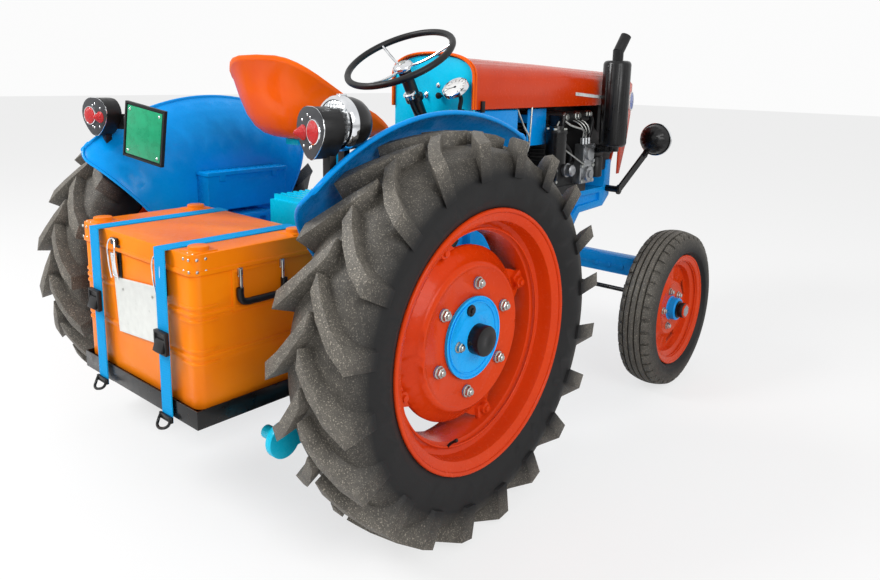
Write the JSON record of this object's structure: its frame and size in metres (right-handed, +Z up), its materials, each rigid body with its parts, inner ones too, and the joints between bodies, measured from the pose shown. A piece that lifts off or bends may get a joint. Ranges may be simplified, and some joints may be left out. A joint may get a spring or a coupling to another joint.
{
  "type": "small farm tractor",
  "caption": "Small open farm tractor with an air-cooled engine, pressed bucket seat, lugged rear tyres, steered front wheels and a strapped box on its rear carrier.",
  "frame": {"origin": "on the ground, in the middle of the overall length and width", "axes": "+X to the tractor's right, +Y forward to the nose, +Z up"},
  "size_m": [1.57, 2.5796, 1.4607],
  "materials": {
    "blue_paint": "gloss",
    "cyan_paint": "gloss",
    "orange_paint": "gloss",
    "amber_paint": "gloss",
    "black_paint": "satin",
    "engine_black": "matt",
    "grey_metal": "satin",
    "black_plastic": "matt",
    "webbing": "woven",
    "tyre_rubber": "matt"
  },
  "bodies": {
    "chassis": {"gearbox": "blue_paint", "rear_axle": "blue_paint", "lift_housing": "cyan_paint", "engine": "engine_black", "engine_filter": "black_paint", "side_cover": "grey_metal", "engine_pipes": "grey_metal", "air_guide": "blue_paint", "fan_housing": "engine_black", "front_support": "blue_paint", "front_axle_beam": "blue_paint", "bonnet": "orange_paint", "nose_cowl": "orange_paint", "grille": "orange_paint", "fuel_tank": "blue_paint", "dash_panel": "cyan_paint", "dash_gauge": "black_paint", "steering_column": "black_paint", "seat": "amber_paint", "seat_spring": "cyan_paint", "fender_left": "blue_paint", "fender_right": "blue_paint", "tool_locker": "blue_paint", "footboards": "black_paint", "muffler": "black_paint", "headlamps": "black_paint", "tail_lamps": "black_plastic", "work_lamp": "black_plastic", "side_plate": "black_plastic", "carrier": "black_paint", "case_body": "orange_paint", "case_lid": "orange_paint", "case_fittings": "grey_metal", "case_straps": "webbing", "hitch_arms": "cyan_paint"},
    "rear_wheel_left": {"rear_tyre_left": "tyre_rubber", "rear_rim_left": "orange_paint", "rear_hub_left": "cyan_paint"},
    "rear_wheel_right": {"rear_tyre_right": "tyre_rubber", "rear_rim_right": "orange_paint", "rear_hub_right": "cyan_paint"},
    "knuckle_left": {"knuckle_left": "black_paint"},
    "knuckle_right": {"knuckle_right": "black_paint"},
    "front_wheel_left": {"front_tyre_left": "tyre_rubber", "front_rim_left": "orange_paint"},
    "front_wheel_right": {"front_tyre_right": "tyre_rubber", "front_rim_right": "orange_paint"},
    "steering_wheel": {"steering_wheel": "black_plastic"},
    "tie_rod": {"tie_rod": "black_paint"}
  },
  "joints": [
    {"name": "rear_spin_left", "type": "hinge", "parent": "chassis", "child": "rear_wheel_left", "pos_m": [-0.651, -0.6772, 0.56], "axis": [-1, 0, 0], "continuous": true},
    {"name": "rear_spin_right", "type": "hinge", "parent": "chassis", "child": "rear_wheel_right", "pos_m": [0.651, -0.6772, 0.56], "axis": [-1, 0, 0], "continuous": true},
    {"name": "steer_right", "type": "hinge", "parent": "chassis", "child": "knuckle_right", "pos_m": [0.56, 0.6848, 0.47], "axis": [0, 0, 1], "range_deg": [-40, 40]},
    {"name": "steer_left", "type": "hinge", "parent": "chassis", "child": "knuckle_left", "pos_m": [-0.56, 0.6848, 0.47], "axis": [0, 0, 1], "range_deg": [-40, 40]},
    {"name": "front_spin_left", "type": "hinge", "parent": "knuckle_left", "child": "front_wheel_left", "pos_m": [-0.677, 0.6848, 0.325], "axis": [-1, 0, 0], "continuous": true},
    {"name": "front_spin_right", "type": "hinge", "parent": "knuckle_right", "child": "front_wheel_right", "pos_m": [0.677, 0.6848, 0.325], "axis": [-1, 0, 0], "continuous": true},
    {"name": "steering_wheel_turn", "type": "hinge", "parent": "chassis", "child": "steering_wheel", "pos_m": [0, -0.2392, 1.316], "axis": [0, -0.5, 0.866], "range_deg": [-400, 400]},
    {"name": "tie_rod_pivot", "type": "hinge", "parent": "knuckle_right", "child": "tie_rod", "pos_m": [0.56, 0.5508, 0.398], "axis": [0, 0, 1], "range_deg": [-40, 40]}
  ],
  "couplings": [
    {"joint": "steer_left", "follows": "steer_right", "ratio": 1},
    {"joint": "steering_wheel_turn", "follows": "steer_right", "ratio": 10},
    {"joint": "tie_rod_pivot", "follows": "steer_right", "ratio": -1}
  ]
}
